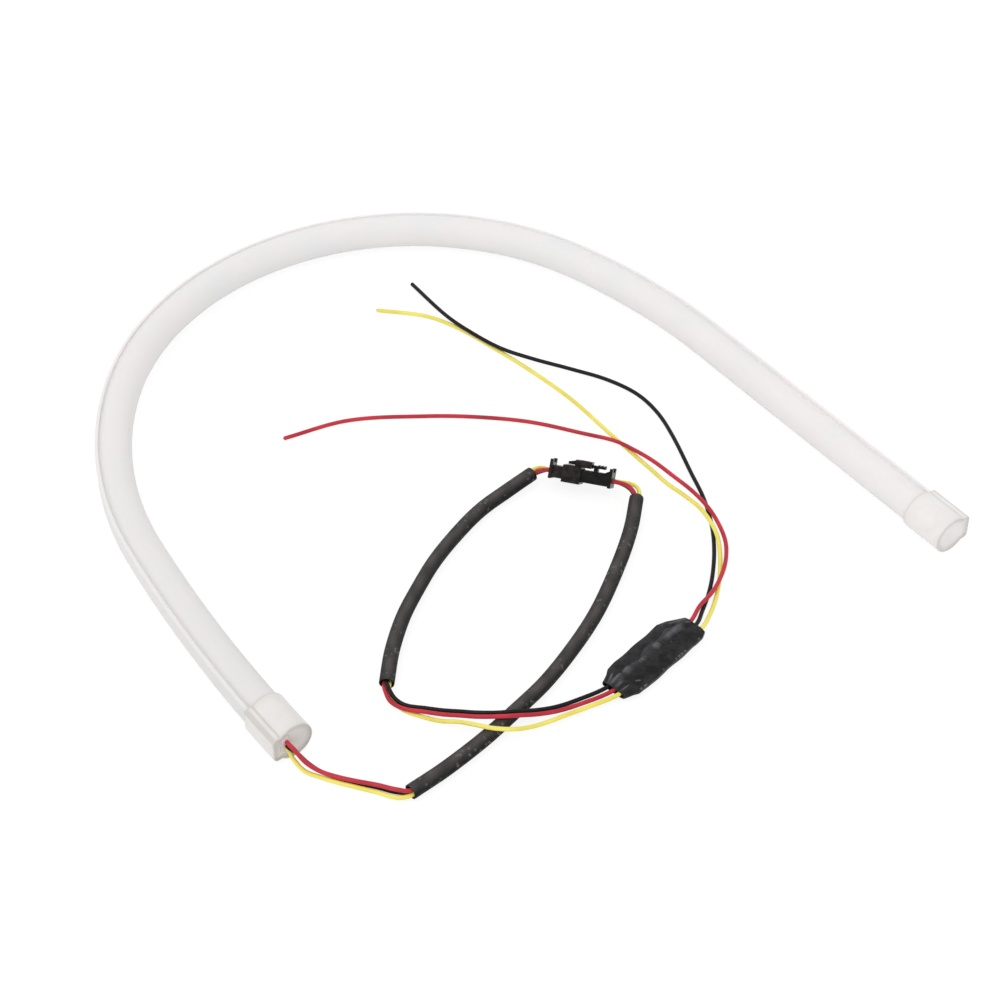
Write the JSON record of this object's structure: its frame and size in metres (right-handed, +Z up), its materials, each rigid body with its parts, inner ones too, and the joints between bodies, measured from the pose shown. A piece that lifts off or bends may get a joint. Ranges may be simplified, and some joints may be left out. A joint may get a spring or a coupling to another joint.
{
  "type": "daytime running light",
  "caption": "Flexible frosted light tube bent into a hook, with end caps, sleeved wires, a latched connector and a shrink-wrapped control box with bare leads.",
  "frame": {"origin": "on the surface that the lamp lies on, under the middle of the box round the tube and its end caps", "axes": "+Z up from that surface, +X to the right along the lamp's longer side and +Y away from the cables, as the lamp lies"},
  "size_m": [0.3082, 0.285, 0.014],
  "materials": {
    "frosted_silicone": "frosted and milky, with a dull sheen",
    "cap_silicone": "milky, with a soft gloss",
    "clear_glue": "clear and glossy",
    "circuit_strip": "white solder mask",
    "white_phosphor": "pale yellow resin",
    "amber_phosphor": "amber resin",
    "ceramic_part": "black glaze",
    "red_insulation": "soft vinyl with a slight sheen",
    "black_insulation": "soft vinyl with a slight sheen",
    "yellow_insulation": "soft vinyl with a slight sheen",
    "sleeve_rubber": "matte, with fine dust",
    "connector_plastic": "moulded, with a satin sheen",
    "contact_metal": "tinned and bright",
    "shrink_wrap": "shrunk film with creases",
    "circuit_board": "green solder mask",
    "chip_resin": "matte resin"
  },
  "bodies": {
    "root": {"light_tube": "frosted_silicone", "wire_end_cap": "cap_silicone", "blind_end_cap": "cap_silicone", "wire_seal": "clear_glue", "light_strip": "circuit_strip", "white_lamps": "white_phosphor", "amber_lamps": "amber_phosphor", "strip_resistors": "ceramic_part", "lamp_red_wire": "red_insulation", "lamp_black_wire": "black_insulation", "lamp_yellow_wire": "yellow_insulation", "lamp_sleeve": "sleeve_rubber", "plug_housing": "connector_plastic", "plug_contacts": "contact_metal", "socket_housing": "connector_plastic", "socket_pins": "contact_metal", "box_red_wire": "red_insulation", "box_black_wire": "black_insulation", "box_yellow_wire": "yellow_insulation", "box_sleeve": "sleeve_rubber", "control_wrap": "shrink_wrap", "control_board": "circuit_board", "control_chip": "chip_resin", "switching_transistors": "chip_resin", "board_resistors": "ceramic_part", "input_diode": "chip_resin", "red_lead": "red_insulation", "black_lead": "black_insulation", "yellow_lead": "yellow_insulation"}
  },
  "joints": []
}
